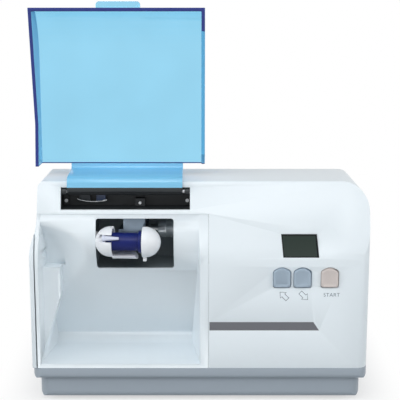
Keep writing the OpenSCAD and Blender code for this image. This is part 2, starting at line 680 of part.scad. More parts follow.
// Round wire wound along X: one closed tube of straight facets
module coil(r, wire, length, turns) {
    sides = 6;
    rings = turns * 8;
    ring = [for (i = [0:rings]) let (a = 360 * i / 8, x = length * i / rings,
            c = [x, r * cos(a), r * sin(a)])
        for (j = [0:sides - 1]) let (b = 360 * j / sides)
            c + wire * (cos(b) * [0, cos(a), sin(a)] + sin(b) * [1, 0, 0])];
    faces = concat(
        [for (i = [0:rings - 1], j = [0:sides - 1]) let (k = (j + 1) % sides)
            [i * sides + j, i * sides + k, (i + 1) * sides + k]],
        [for (i = [0:rings - 1], j = [0:sides - 1]) let (k = (j + 1) % sides)
            [i * sides + j, (i + 1) * sides + k, (i + 1) * sides + j]],
        [for (j = [1:sides - 2]) [0, j + 1, j]],
        [for (j = [1:sides - 2]) let (b = rings * sides) [b, b + j, b + j + 1]]);
    polyhedron(ring, faces);
}
module cup_spring() color(steel) fork_axis()
    translate([guide_x0 + 0.5, arm_l + carrier_y, 0])
    coil(2.75, 0.35, -hub_half - 4 - guide_x0 - 1, 6);
module restraint_spring() color(steel) translate([hub_x, hub_y + hub_out + 0.9, motor_z])
    rotate([0, 0, 90]) coil(3.4, 0.45, shroud_y - shroud_t - 0.6 - hub_y - hub_out - 0.9, 4);

// Capsule between the cups, its spout folded along its front
module capsule_body() color([0.12, 0.16, 0.55]) fork_axis() {
    rod_x(capsule_r, capsule_x0, cup_x - 2.9, 0, 0);
    rod_x(capsule_r + 0.5, capsule_x0 + 2, capsule_x0 + 4, 0, 0);
}
module capsule_plunger() color([0.10, 0.13, 0.48]) fork_axis() {
    rod_x(7.8, cup_x - 2.9 + 0.01, cup_x - 0.3, 0, 0);
    rod_x(3.6, cup_x - 0.31, cup_x + 2.8, 0, 0);
}
module capsule_nozzle() color([0.90, 0.95, 1, 0.8]) fork_axis() {
    translate([-cup_x - 6.5, nozzle_y, nozzle_z]) rotate([0, 90, 0])
        cylinder(r1 = 2, r2 = 0.9, h = 11.5, $fn = 32);
    translate([-cup_x - 6.5, nozzle_y, nozzle_z]) rotate([0, 90, 0]) cylinder(r = 2.2, h = 1.6, $fn = 32);
    difference() {
        box(-cup_x - 6.4, -cup_x - 5, nozzle_y, 3, nozzle_z - 1.6, nozzle_z + 1.6);
        rod_x(pad_r + 0.05, -cup_x - 9, -cup_x + 3, 0, 0);
    }
}

// Drive: motor on two feet, its shaft, the ball on the shaft and the fan
motor_x0 = shroud_x[1] + shroud_t + 1.2;
motor_x1 = motor_x0 + motor_l;
fan_x = motor_x1 + 5;
module motor_shaft() color(steel) rod_x(shaft_r, hub_x - 7, fan_x + 9, hub_y, motor_z);
module skew_hub() color(steel) difference() {
    union() {
        intersection() {
            translate([hub_x, hub_y, motor_z]) sphere(r = ball_r, $fn = 64);
            box(hub_x - 5, hub_x + 5, hub_y - 20, hub_y + 20, motor_z - 20, motor_z + 20);
        }
        rod_x(4.3, hub_x + 4.5, hub_x + 10, hub_y, motor_z);
    }
    rod_x(shaft_r + fit, hub_x - 9, hub_x + 12, hub_y, motor_z);
}
module fan_wheel() color(black) difference() {
    union() {
        rod_x(7, fan_x, fan_x + 8, hub_y, motor_z);
        rod_x(19, fan_x, fan_x + 1.4, hub_y, motor_z);
        for (i = [0:8]) translate([0, hub_y, motor_z]) rotate([40 * i, 0, 0])
            box(fan_x + 1.3, fan_x + 8, -0.7, 0.7, 6, 19);
    }
    rod_x(shaft_r + fit, fan_x - 1, fan_x + 9, hub_y, motor_z);
}
module motor_casing() color([0.35, 0.36, 0.38]) difference() {
    union() {
        rod_x(motor_r, motor_x0 + 3, motor_x1 - 3, hub_y, motor_z);
        rod_x(motor_r - 4, motor_x0 + 0.6, motor_x1 - 0.6, hub_y, motor_z);
    }
    rod_x(boss_out + 1, motor_x0 - 1, motor_x1 + 1, hub_y, motor_z);
}
module motor_boss() color(steel) difference() {
    union() {
        rod_x(boss_out, boss_x0, motor_x0 + 0.6, hub_y, motor_z);
        rod_x(boss_out + 1 - fit, motor_x0 + 0.6 - eps, motor_x0 + 16, hub_y, motor_z);
        rod_x(boss_out + 0.3, boss_x0 + 5, boss_x0 + 6.2, hub_y, motor_z);
    }
    rod_x(shaft_r + 0.05, boss_x0 - 1, motor_x0 + 17, hub_y, motor_z);
}
module motor_cap() color(steel) difference() {
    union() {
        rod_x(boss_out + 1 - fit, motor_x1 - 12, motor_x1 - 0.6, hub_y, motor_z);
        rod_x(motor_r - 8, motor_x1 - 0.6, motor_x1 + 1.6, hub_y, motor_z);
    }
    rod_x(shaft_r + 0.05, motor_x1 - 14, motor_x1 + 4, hub_y, motor_z);
}
foot_plate_t = 3;
motor_foot_x = [motor_x0 + 6, motor_x1 - 6 - foot_plate_t];
module motor_feet() color(steel) for (x = motor_foot_x) difference() {
    along_x(x, x + foot_plate_t) polygon(rounded([
        [wall_y(plate_z) + 10, plate_z + plate_t, 0], [hub_y + motor_r + 16, plate_z + plate_t, 0],
        [hub_y + motor_r + 4, motor_z - 5, 2], [hub_y - motor_r - 3, motor_z - 5, 2]]));
    rod_x(motor_r + fit, x - 1, x + foot_plate_t + 1, hub_y, motor_z);
}
module chassis_plate() color(steel) difference() {
    box(plate_x[0], plate_x[1], plate_y[0], plate_y[1], plate_z, plate_z + plate_t);
    for (p = damper_xy) rod_z(3, plate_z - 1, plate_z + plate_t + 1, p.x, p.y);
}
module chassis_dampers() color(black) for (p = damper_xy) {
    rod_z(7, plate_z - damper_h, plate_z, p.x, p.y);
    rod_z(2.95, plate_z - eps, plate_z + plate_t + 1, p.x, p.y);
    rod_z(5, plate_z + plate_t + eps, plate_z + plate_t + 2.5, p.x, p.y);
}

// Lid switch in the slot: the strap presses its pin as the lid comes down
switch_x0 = -46.6;
switch_w = 7;
pin_travel = 1.2;
pin_x = switch_x0 + switch_w / 2;
switch_front = pivot.x + 7.2;
module switch_body() color([0.55, 0.56, 0.58]) difference() {
    box(switch_x0, switch_x0 + switch_w, switch_front, trough_y - 0.02, slot_z0 + 0.1, slot_z0 + 5.6);
    rod_y(1.05, switch_front - 1, trough_y - 1.6, pin_x, slot_z0 + 2.6);
}
module switch_plunger() color("white")
    rod_y(1, switch_front - pin_travel - 0.3, switch_front + 2.6, pin_x, slot_z0 + 2.6);

// Display: clear lens in the face, module behind it
module display_lens() color([0.22, 0.26, 0.24]) on_face() lens_block(0, lens_t, 0);
module display_module() color([0.16, 0.30, 0.20]) on_face() {
    lens_block(module_rim, module_t, lens_t + seam);
    lens_block(module_rim + 2, board_t, lens_t + seam + module_t - eps);
}

// Keys: arched caps with a flange behind the wall and a stem towards the board
board_y = y_front + 14;

tact_h = 4;
module key(x) {
    translate([x, 0, 0]) {
        along_y(y_front - key_out, y_front + wall + 0.3) key_outline(0);
        along_y(y_front + wall + 0.1, y_front + wall + 1.2) key_outline(key_flange);
        rod_y(1.6, y_front + wall + 1.1, board_y - tact_h - key_travel - 0.3, 0, key_z);
    }
}
module key_up() color([0.62, 0.68, 0.75]) key(key_x[0]);
module key_down() color([0.62, 0.68, 0.75]) key(key_x[1]);
module key_start() color([0.85, 0.78, 0.75]) key(key_x[2]);
board_x = [key_x[0] - 12, key_x[2] + 12];
board_z = [key_z - 24, key_z + 8.6];
post_xz = [for (x = [board_x[0] + 4, board_x[1] - 4], z = [board_z[0] + 4]) [x, z]];
module control_board() color([0.10, 0.35, 0.18]) difference() {
    union() {
        box(board_x[0], board_x[1], board_y, board_y + board_t, board_z[0], board_z[1]);
        for (x = key_x) box(x - 3, x + 3, board_y - tact_h, board_y + eps, key_z - 3, key_z + 3);
        box(key_x[0], key_x[0] + 26, board_y + board_t - eps, board_y + 9, key_z - 16, key_z - 8);
    }
    for (p = post_xz) rod_y(1.3, board_y - 1, board_y + board_t + 1, p.x, p.y);
}
module board_posts() color(white) for (p = post_xz) {
    rod_y(3, y_front + wall + 0.02, board_y - 0.02, p.x, p.y);
    rod_y(1.25, board_y - 0.1, board_y + board_t + 0.5, p.x, p.y);
}
module panel_stripe() color([0.48, 0.49, 0.51]) along_y(y_front, y_front + stripe_t - 0.01) stripe_outline();

// Power side
plate_top = plate_z + plate_t;
power_size = [68, 56];
power_at = [plate_x[0] + 8, plate_y[1] - 11.5 - power_size.y];
stand_h = 5;
board_top = plate_top + stand_h + board_t;
cap_r = 9;
cap_h = 23.5;
module power_board() color([0.10, 0.35, 0.18]) translate(power_at) {
    translate([0, 0, plate_top + stand_h]) cube([power_size.x, power_size.y, board_t]);
    for (x = [4, power_size.x - 4], y = [4, power_size.y - 4])
        rod_z(2, plate_top, plate_top + stand_h + eps, x, y);
    for (y = [2 * cap_r, 4.4 * cap_r]) rod_z(cap_r, board_top - eps, board_top + cap_h, 2 * cap_r, y);
    translate([power_size.x / 2 + 2, 10, board_top - eps]) cube([6, power_size.y - 18, 19.5]);
}
core_size = [42, 46, 34];
coil_in = 5;
coil_out = 4;
module transformer() color([0.75, 0.70, 0.55])
    translate([power_at.x + power_size.x + 8, plate_y[1] - 13.5 - core_size.y, plate_top]) {
        cube(core_size);
        translate([coil_in, -coil_out, 6]) cube(core_size + [-2 * coil_in, 2 * coil_out, -12]);
    }
module power_inlet() color(black) difference() {
    union() {
        back_plate(inlet_x, inlet_size, 0, 2, -18, 1);
        back_plate(inlet_x, inlet_size, inlet_rim, 2.5, 0, 2);
    }
    back_plate(inlet_x, inlet_size, -2, 3, -14, 3);
}
module fuse_drawer() color(black) {
    back_plate(fuse_x, fuse_size, 0, 2, -20, 1);
    back_plate(fuse_x, fuse_size, fuse_rim, 2, 0, 1.6);
}
frame_wall = 1.5;
rocker_pin = frame_size.y / 2 - 0.5;
module power_frame() color(black) difference() {
    union() {
        back_plate(switch_x, frame_size, 0, 1, -16, 1);
        back_plate(switch_x, frame_size, frame_rim, 2, 0, 2);
    }
    back_plate(switch_x, frame_size, -frame_wall, 0, -8, 3);
    rod_z(1, back_z - rocker_pin, back_z + rocker_pin, switch_x, y_back - 3);
}
module power_rocker() color("black") {
    half = frame_size / 2 - [frame_wall + 0.4, frame_wall + 0.2];
    translate([0, 0, back_z - half.y]) linear_extrude(2 * half.y) polygon([
        [switch_x - half.x + 1.2, y_back + rocker_out], [switch_x, y_back + 1.2],
        [switch_x + half.x - 0.4, y_back + 1], [switch_x + half.x - 2.6, y_back - 3.4],
        [switch_x - half.x + 3.2, y_back - 3.4], [switch_x - half.x + 0.2, y_back - 2.6]]);
    rod_z(1 - fit, back_z - rocker_pin + 0.1, back_z + rocker_pin - 0.1, switch_x, y_back - 3);
}

upper_housing();
bay_liner();
base_tray();
rubber_feet();
case_screws();
slot_trough();
hinge_brackets();
bracket_screws();
hinge_pin();
lid_hood();
lid_strap();
lid_handle();
window_shroud();
fork_arm();
arm_bearing();
fixed_cup();
fork_bed();
sprung_cup();
cup_spring();
capsule_body();
capsule_plunger();
capsule_nozzle();
motor_shaft();
skew_hub();
fan_wheel();
motor_casing();
motor_boss();
motor_cap();
motor_feet();
chassis_plate();
chassis_dampers();
restraint_spring();
switch_body();
switch_plunger();
display_lens();
display_module();
control_board();
board_posts();
key_up();
key_down();
key_start();
panel_stripe();
power_board();
transformer();
power_inlet();
fuse_drawer();
power_frame();
power_rocker();
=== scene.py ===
import json
import math

import bpy
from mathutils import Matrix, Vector


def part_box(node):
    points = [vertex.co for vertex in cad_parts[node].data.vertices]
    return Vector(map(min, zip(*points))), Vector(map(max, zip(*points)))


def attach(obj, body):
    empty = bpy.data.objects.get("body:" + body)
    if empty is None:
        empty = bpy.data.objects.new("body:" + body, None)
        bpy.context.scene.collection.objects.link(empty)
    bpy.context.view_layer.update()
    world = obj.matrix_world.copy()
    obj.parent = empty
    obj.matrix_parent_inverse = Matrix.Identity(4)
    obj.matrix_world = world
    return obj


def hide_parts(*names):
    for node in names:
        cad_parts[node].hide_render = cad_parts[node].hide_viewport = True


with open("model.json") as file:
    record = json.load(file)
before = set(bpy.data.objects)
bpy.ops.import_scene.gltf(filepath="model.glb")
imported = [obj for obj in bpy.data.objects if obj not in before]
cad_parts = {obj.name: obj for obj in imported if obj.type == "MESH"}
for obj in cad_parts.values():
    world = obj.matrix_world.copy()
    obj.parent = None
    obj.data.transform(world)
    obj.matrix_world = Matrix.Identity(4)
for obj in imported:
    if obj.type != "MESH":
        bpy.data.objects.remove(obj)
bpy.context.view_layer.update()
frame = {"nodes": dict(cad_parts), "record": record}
MM = 0.001

# Places worked out from the frame
housing_low, housing_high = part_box("upper_housing")
front_y = housing_low.y
tray_z = housing_low.z
lens_low, lens_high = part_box("display_lens")

# Camera fitted to the photograph: 11 degrees down, level with the open hood
CAMERA_BACK = 679.9 * MM
CAMERA_UP = 254.7 * MM
CAMERA_DOWN = math.radians(11)
LENS_MM = 90.0
SENSOR_MM = 36.0


def linear(hex_colour):
    """sRGB hex to the linear colour the shaders take."""
    channels = [int(hex_colour[i:i + 2], 16) / 255 for i in (1, 3, 5)]
    return tuple(c / 12.92 if c <= 0.04045 else ((c + 0.055) / 1.055) ** 2.4 for c in channels) + (1.0,)


def add(tree, kind, links=(), **settings):
    """One node with its settings, and links given as (own input, other node, its output)."""
    made = tree.nodes.new(kind)
    for name, value in settings.items():
        if name.startswith("in_"):
            socket = name[3:]
            made.inputs[int(socket) if socket.isdigit() else socket.replace("_", " ")].default_value = value
        else:
            setattr(made, name, value)
    for own, other, output in links:
        tree.links.new(other.outputs[output], made.inputs[own])
    return made


# The colour sockets of a Mix node, by place
MIX_DARK, MIX_LIGHT, MIX_RESULT = 6, 7, 2
GRAIN_DEPTH = 0.05 * MM


def finish(name, colour, roughness, speckle_mm=3.0, speckle=0.02, grain_mm=0.5, grain=0.05, **sockets):
    """A moulded or metal finish: a slight cloud in the colour and a fine grain in the surface.

    The real grains are about 0.1 mm, too fine to show, so they are drawn at 0.5 mm and more.
    """
    material = bpy.data.materials.new(name)
    material.use_nodes = True
    tree = material.node_tree
    shader = tree.nodes["Principled BSDF"]
    shader.inputs["Roughness"].default_value = roughness
    for socket, value in sockets.items():
        shader.inputs[socket.replace("_", " ")].default_value = value
    place = add(tree, "ShaderNodeTexCoord")
    cloud = add(tree, "ShaderNodeTexNoise", [("Vector", place, "Object")],
                in_Scale=1000 / speckle_mm, in_Detail=2.0)
    tint = add(tree, "ShaderNodeMix", [("Factor", cloud, "Fac")], data_type="RGBA")
    tint.inputs[MIX_DARK].default_value = [c * (1 - speckle) for c in linear(colour)[:3]] + [1.0]
    tint.inputs[MIX_LIGHT].default_value = linear(colour)
    tree.links.new(tint.outputs[MIX_RESULT], shader.inputs["Base Color"])
    fine = add(tree, "ShaderNodeTexNoise", [("Vector", place, "Object")],
               in_Scale=1000 / grain_mm, in_Detail=3.0)
    bump = add(tree, "ShaderNodeBump", [("Height", fine, "Fac")], in_Strength=grain, in_Distance=GRAIN_DEPTH)
    tree.links.new(bump.outputs["Normal"], shader.inputs["Normal"])
    return material


def clear(name, colour, ior, roughness, absorbed, per_metre):
    """Clear plastic whose thickness deepens its colour, with broad faint clouds."""
    material = finish(name, colour, roughness, speckle_mm=45, speckle=0.14, grain=0.01,
                      IOR=ior, Transmission_Weight=1.0)
    tree = material.node_tree
    depth = add(tree, "ShaderNodeVolumeAbsorption", in_Color=linear(absorbed), in_Density=per_metre)
    tree.links.new(depth.outputs["Volume"], tree.nodes["Material Output"].inputs["Volume"])
    return material


# The finishes, each named for the real one or for the light painted into it. Its comment says what it gives
# the eye

# Cool near-white shell with a low sheen, so the soft lamps draw its bends
white_abs = finish("white moulded ABS", "#E6EEF3", 0.34, speckle=0.012, grain=0.06, grain_mm=0.8)
# Duller blue grey than the shell, with a deeper spark-eroded grain
tray_abs = finish("blue grey moulded ABS", "#9DA7B1", 0.42, speckle=0.03, grain=0.12, grain_mm=0.7)
# Near-black that keeps a grey bloom where light falls into the slot
black_abs = finish("black moulded ABS", "#22272B", 0.5, speckle=0.1)
# Box behind the window, black in truth but painted pale grey as painted light, for light that barely reaches
# inside; its own shade turns it dark
shroud_painted_light = finish("black moulded ABS painted pale for light", "#AEB9BE", 0.55, speckle=0.08, grain=0.1)
# Posts just lighter than the slot behind them; the right one's blue is a painted reflection
post_abs = finish("smoky moulded ABS", "#3A4046", 0.45, speckle=0.08)
post_painted_blue = finish("smoky post with painted blue reflection", "#4A5A7C", 0.30, speckle=0.08)
# Dull black with no highlight
rubber = finish("black rubber", "#17181A", 0.8, speckle=0.15, grain=0.2)
# Bright white with a soft waxy highlight on the domes
acetal = finish("white acetal", "#EDF0F4", 0.38, speckle=0.02)
# Deep saturated navy with little shine
capsule_pp = finish("navy polypropylene", "#0D1C66", 0.32, speckle=0.08, Specular_IOR_Level=0.25)
# Blurred grey-blue reflections
arm_metal = finish("satin aluminium", "#7E8C9A", 0.34, speckle=0.15, grain=0.2, Metallic=1.0)
# Grey metal with a narrow glint on edges
plain_steel = finish("turned steel", "#B9BCC0", 0.30, speckle=0.05, Metallic=1.0)
# Pale metal with one bright band along the boss
chrome = finish("brushed chromed steel", "#F2F8FC", 0.26, speckle=0.05, grain=0.1, Metallic=0.6)
# Even mid grey paint
motor_paint = finish("grey motor enamel", "#55585C", 0.45, speckle=0.08)
# Dark green resin
board_resin = finish("green circuit board", "#1E5A33", 0.45, speckle=0.1)
# Amber tape with a varnish sheen
winding = finish("varnished transformer tape", "#C2A860", 0.5, speckle=0.1)
# Soft-touch keys, matt beside the shell's sheen
key_grey = finish("blue grey silicone key", "#A3B3C2", 0.50, speckle=0.03, grain=0.15)
key_beige = finish("warm grey silicone key", "#D2C8C4", 0.50, speckle=0.03, grain=0.15)
# Flat grey ink, darker than the tray
stripe_print = finish("grey screen print", "#6A6B71", 0.42, speckle=0.02)
# Green-black glass kept from mirroring the lamps, in a blacker border: a thin print, broadened by painted
# shadow under the hole's rim
lens_smoke = finish("smoked display lens", "#2B3631", 0.30, speckle=0.03, grain=0.0, Specular_IOR_Level=0.15)
lens_print_and_shadow = finish("black lens print and painted shadow", "#070C10", 0.35, speckle=0.03, grain=0.0, Specular_IOR_Level=0.15)
# Thin grey outlines that stay legible but pale
panel_ink = finish("grey pad print", "#6F7A84", 0.5, speckle=0.05)
# Sky blue sheet to look through, whose colour deepens with its thickness
lid_clear = clear("clear blue polycarbonate", "#FFFFFF", 1.45, 0.02, "#72E1FA", 540)
# The same sheet where it is bent or seen side on: fuller colour, less see-through
strap_clear = finish("bent blue polycarbonate strip", "#88D3F9", 0.18, speckle=0.04, grain=0.01,
                     IOR=1.58, Transmission_Weight=0.15)
# The sheet's cut edges: deep blue, and paler where light runs along them
rim_navy = finish("deep blue cut edge", "#1E2F80", 0.25, speckle=0.06, grain=0.02)
rim_cyan = finish("lit blue cut edge", "#58AEDD", 0.25, speckle=0.06, grain=0.02)
# Milky lilac white, a little translucent
spout_clear = finish("milky polypropylene", "#E4E9FA", 0.35, speckle=0.03, Transmission_Weight=0.12)

NODE_FINISH = {
    white_abs: ["upper_housing", "bay_liner", "board_posts"],
    tray_abs: ["base_tray"],
    black_abs: ["slot_trough", "hinge_brackets", "fan_wheel", "switch_body",
                "power_inlet", "fuse_drawer", "power_frame", "power_rocker"],
    shroud_painted_light: ["window_shroud"],
    rubber: ["rubber_feet", "chassis_dampers"],
    acetal: ["fixed_cup", "fork_bed", "sprung_cup", "switch_plunger"],
    capsule_pp: ["capsule_body", "capsule_plunger"],
    spout_clear: ["capsule_nozzle"],
    arm_metal: ["fork_arm"],
    plain_steel: ["case_screws", "bracket_screws", "hinge_pin", "arm_bearing", "cup_spring",
                  "motor_shaft", "skew_hub", "motor_cap", "motor_feet", "chassis_plate", "restraint_spring"],
    chrome: ["motor_boss"],
    motor_paint: ["motor_casing"],
    board_resin: ["display_module", "control_board", "power_board"],
    winding: ["transformer"],
    key_grey: ["key_up", "key_down"],
    key_beige: ["key_start"],
    stripe_print: ["panel_stripe"],
    lens_smoke: ["display_lens"],
    lid_clear: ["lid_hood", "lid_handle"],
    strap_clear: ["lid_strap"],
}

# Widths of the rounded edges, for the nodes that get a skin
EDGE_MM = {"upper_housing": 0.5, "bay_liner": 0.5, "base_tray": 0.5, "lid_hood": 0.4, "lid_strap": 0.3,
           "lid_handle": 0.4, "fixed_cup": 0.3, "sprung_cup": 0.3, "fork_bed": 0.2, "fork_arm": 0.5,
           "capsule_body": 0.5, "capsule_plunger": 0.5, "motor_boss": 0.3, "key_up": 0.7, "key_down": 0.7,
           "key_start": 0.7, "display_lens": 0.2}

BODY_OF = {node: body for body, nodes in frame["record"]["behaviour"]["bodies"].items() for node in nodes}

MERGE = 0.004 * MM
FLAT_ANGLE = math.radians(0.5)
EDGE_ANGLE = math.radians(28)
SKIN_SMOOTH = math.radians(32)
PIECE_SMOOTH = math.radians(40)


def deselect():
    bpy.ops.object.select_all(action="DESELECT")


def pick(piece):
    """Only this piece selected, and active."""
    deselect()
    bpy.context.view_layer.objects.active = piece
    piece.select_set(True)


def mode(name):
    bpy.ops.object.mode_set(mode=name)


def select_faces(piece, wanted):
    """In edit mode, only the faces for which wanted(face) holds."""
    pick(piece)
    mode("EDIT")
    bpy.ops.mesh.select_mode(type="FACE")
    bpy.ops.mesh.select_all(action="DESELECT")
    mode("OBJECT")
    for face in piece.data.polygons:
        face.select = wanted(face)
    mode("EDIT")


def dress(node, material):
    """A finished skin over a CAD node: its faces merged, its moulded edges rounded, its curves smooth."""
    source = frame["nodes"][node]
    piece = source.copy()
    piece.data = source.data.copy()
    piece.name = node + "_skin"
    for key in list(piece.keys()):
        del piece[key]
    piece.parent = None
    bpy.context.scene.collection.objects.link(piece)
    pick(piece)
    mode("EDIT")
    bpy.ops.mesh.select_all(action="SELECT")
    bpy.ops.mesh.remove_doubles(threshold=MERGE)
    mode("OBJECT")
    # The back wall keeps its small faces: it has too many openings for one face
    select_faces(piece, lambda face: node != "upper_housing" or face.normal.y < 0.9)
    bpy.ops.mesh.dissolve_limited(angle_limit=FLAT_ANGLE)
    mode("OBJECT")
    bevel = piece.modifiers.new("rounded edges", "BEVEL")
    bevel.width = EDGE_MM[node] * MM
    bevel.segments = 2
    bevel.limit_method = "ANGLE"
    bevel.angle_limit = EDGE_ANGLE
    bevel.use_clamp_overlap = True
    bevel.miter_outer = "MITER_ARC"
    bpy.ops.object.modifier_apply(modifier=bevel.name)
    bpy.ops.object.shade_smooth_by_angle(angle=SKIN_SMOOTH)
    piece.data.materials.clear()
    piece.data.materials.append(material)
    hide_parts(node)
    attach(piece, BODY_OF[node])
    return piece


for material, nodes in NODE_FINISH.items():
    for node in nodes:
        part = frame["nodes"][node]
        part.data.materials.clear()
        part.data.materials.append(material)

SKIN = {}
for material, nodes in NODE_FINISH.items():
    for node in nodes:
        if node in EDGE_MM:
            SKIN[node] = dress(node, material)

# The display and its hole lean a little to the left at the top. The hole's rim reaches past the lens
LCD_SLANT = -0.092
LCD_RIM = Vector((0.7, 0.7, 0.7)) * MM


def slant(piece):
    """The display's edges pushed sideways in proportion to their height."""
    low, high = lens_low - LCD_RIM, lens_high + LCD_RIM
    mid_z = (lens_low.z + lens_high.z) / 2
    for vertex in piece.data.vertices:
        p = vertex.co
        if low.x <= p.x <= high.x and low.y <= p.y <= high.y and low.z <= p.z <= high.z:
            p.x += LCD_SLANT * (p.z - mid_z)
    piece.data.update()


slant(SKIN["upper_housing"])
slant(SKIN["display_lens"])

# The overhang above the corner block is scooped: a round hollow with a soft mouth
SCOOP_CENTRE = Vector((-0.119, front_y - 0.030, 0.092))
SCOOP_R = 0.055
SCOOP_SOFT = 0.0016
# The part of the insert that is cut into cells for it, and where the hollow fades out
SCOOP_LOW = Vector((-0.117, front_y - 0.001, 0.060))
SCOOP_HIGH = Vector((-0.072, front_y + 0.034, 0.1372))
CELL = 2.5 * MM
FADE_X = (-0.084, -0.074)
FADE_Z = (0.126, 0.136)
# The corner block's right side and top; the insert's left side, its draft, and what counts as on it
BLOCK_X, BLOCK_Z = -0.1003, 0.0981
SIDE_X = -0.1139
SIDE_DRAFT = 6.6 / 54.6
NEAR = 0.4 * MM


def smooth(value, low, high):
    """0 at low and 1 at high, level at both."""
    t = min(max((value - low) / (high - low), 0.0), 1.0)
    return t * t * (3 - 2 * t)


def from_side(place):
    """How far a place lies inside the insert's left side."""
    return place.x - (SIDE_X + SIDE_DRAFT * (place.y - front_y))


def eased(depth):
    """A push back by the depth, with a soft start; the limit keeps exp within range."""
    return SCOOP_SOFT * math.log1p(math.exp(min(depth / SCOOP_SOFT, 60)))


def cut_cells(liner):
    """Crossing cuts over the hollow's part of the insert, so that it can bend."""
    low, high = SCOOP_LOW, SCOOP_HIGH
    cuts = [((low.x + CELL * i, 0, 0), (1, 0, 0)) for i in range(1, int((high.x - low.x) / CELL))]
    cuts += [((0, 0, low.z + CELL * i), (0, 0, 1)) for i in range(1, int((high.z - low.z) / CELL))]
    for place, normal in cuts:
        mode("OBJECT")
        for face in liner.data.polygons:
            points = [liner.data.vertices[v].co for v in face.vertices]
            face.select = (max(p.x for p in points) > low.x and min(p.x for p in points) < high.x
                           and min(p.y for p in points) < high.y
                           and max(p.z for p in points) > low.z and min(p.z for p in points) < high.z)
        mode("EDIT")
        bpy.ops.mesh.bisect(plane_co=place, plane_no=normal)
    mode("OBJECT")


def scoop(liner):
    """The cells pushed back to a sphere, along the left side where they meet it."""
    pick(liner)
    mode("EDIT")
    bpy.ops.mesh.select_mode(type="FACE")
    cut_cells(liner)
    low, high = SCOOP_LOW, SCOOP_HIGH
    inner = {v for face in liner.data.polygons if from_side(face.center) > NEAR for v in face.vertices}
    for vertex in liner.data.vertices:
        p = vertex.co
        if not (low.x - 1 * MM <= p.x <= high.x and p.y <= high.y and low.z <= p.z <= high.z):
            continue
        if p.x <= BLOCK_X + 0.3 * MM and p.z <= BLOCK_Z + 0.2 * MM:
            continue
        across = (p.x - SCOOP_CENTRE.x) ** 2 + (p.z - SCOOP_CENTRE.z) ** 2
        on_side = from_side(p) < NEAR
        if across >= SCOOP_R ** 2 or (on_side and vertex.index not in inner):
            continue
        bottom = SCOOP_CENTRE.y + math.sqrt(SCOOP_R ** 2 - across)
        push = eased(bottom - p.y) * (1 - smooth(p.x, *FADE_X)) * (1 - smooth(p.z, *FADE_Z))
        p.y += push
        if on_side:
            p.x += SIDE_DRAFT * push
    liner.data.update()
    bpy.ops.object.shade_smooth_by_angle(angle=SKIN_SMOOTH)


scoop(SKIN["bay_liner"])


# The black border's width, part print and part painted shadow, and how far its opening moves left and down
# to broaden the painted shadow at the top and the right
BORDER = 0.75 * MM
OPENING_MOVE = (-0.2 * MM, 0, -0.25 * MM)


def lens_glass():
    """A black border round the display: a thin print, broadened at the top and the right by painted shadow
    from the hole's rim.
    """
    lens = SKIN["display_lens"]
    lens.data.materials.append(lens_print_and_shadow)
    front = max((f for f in lens.data.polygons if f.normal.y < -0.7), key=lambda f: f.area).index
    select_faces(lens, lambda face: face.index == front)
    bpy.ops.mesh.inset(thickness=BORDER, depth=0)
    bpy.ops.transform.translate(value=OPENING_MOVE)
    mode("OBJECT")
    # The border faces take the black of print and painted shadow
    for face in lens.data.polygons:
        face.material_index = 0 if face.select else 1


lens_glass()

# The depth of a key's cap, and what is trimmed off it at the right, below and at the top
CAP_DEPTH = 3.9 * MM
TRIM_RIGHT, TRIM_BELOW, TRIM_TOP = 0.45 * MM, 0.55 * MM, 0.5 * MM
# Where those three begin, from the middle, the bottom and the top
RIGHT_FROM, BELOW_FROM, TOP_FROM = 3 * MM, 3 * MM, 6 * MM
LIP, DISH_SLOPE, DISH = 0.9 * MM, 0.8 * MM, 0.35 * MM


def key_cap(node):
    """A silicone key: its face dished inside a soft lip, and clear of its hole all round."""
    key = SKIN[node]
    low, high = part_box(node)
    mid_x = (low.x + high.x) / 2
    for vertex in key.data.vertices:
        p = vertex.co
        if p.y < low.y + CAP_DEPTH:
            if p.x > mid_x + RIGHT_FROM:
                p.x -= TRIM_RIGHT
            if p.z < low.z + BELOW_FROM:
                p.z += TRIM_BELOW
            if p.z > high.z - TOP_FROM:
                p.z -= TRIM_TOP
    key.data.update()
    faces = [f for f in key.data.polygons if f.normal.y < -0.95 and f.center.y < low.y + 0.1 * MM]
    front = max(faces, key=lambda f: f.area).index
    select_faces(key, lambda face: face.index == front)
    bpy.ops.mesh.inset(thickness=LIP, depth=0)
    bpy.ops.mesh.inset(thickness=DISH_SLOPE, depth=-DISH)
    mode("OBJECT")
    bpy.ops.object.shade_smooth_by_angle(angle=PIECE_SMOOTH)


for node in ("key_up", "key_down", "key_start"):
    key_cap(node)


def split(piece, wanted, height):
    """The wanted faces cut at a height."""
    select_faces(piece, wanted)
    bpy.ops.mesh.bisect(plane_co=(0, 0, height), plane_no=(0, 0, 1))
    mode("OBJECT")


def lid_rims():
    """The hood's cut edges, where the sheet is seen along its depth: navy, and lighter at the right."""
    hood = SKIN["lid_hood"]
    low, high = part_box("lid_hood")
    for material in (rim_navy, rim_cyan, strap_clear):
        hood.data.materials.append(material)
    navy, cyan, side = 1, 2, 3
    sheet = 2.6 * MM
    hinge_end = high.y - 9 * MM
    navy_end = high.z - 16 * MM
    border = low.z + 0.8 * MM
    for height in (high.z - sheet, navy_end, border):
        split(hood, lambda face: face.normal.y < -0.3, height)
    for face in hood.data.polygons:
        c = face.center
        if face.normal.y < -0.3 and c.y < hinge_end:
            if c.x < low.x + sheet or c.z > high.z - sheet:
                face.material_index = navy
            elif c.x > high.x - sheet:
                face.material_index = navy if c.z > navy_end else cyan
        if abs(face.normal.x) > 0.9:
            face.material_index = side
        if c.z < border:
            face.material_index = navy


lid_rims()


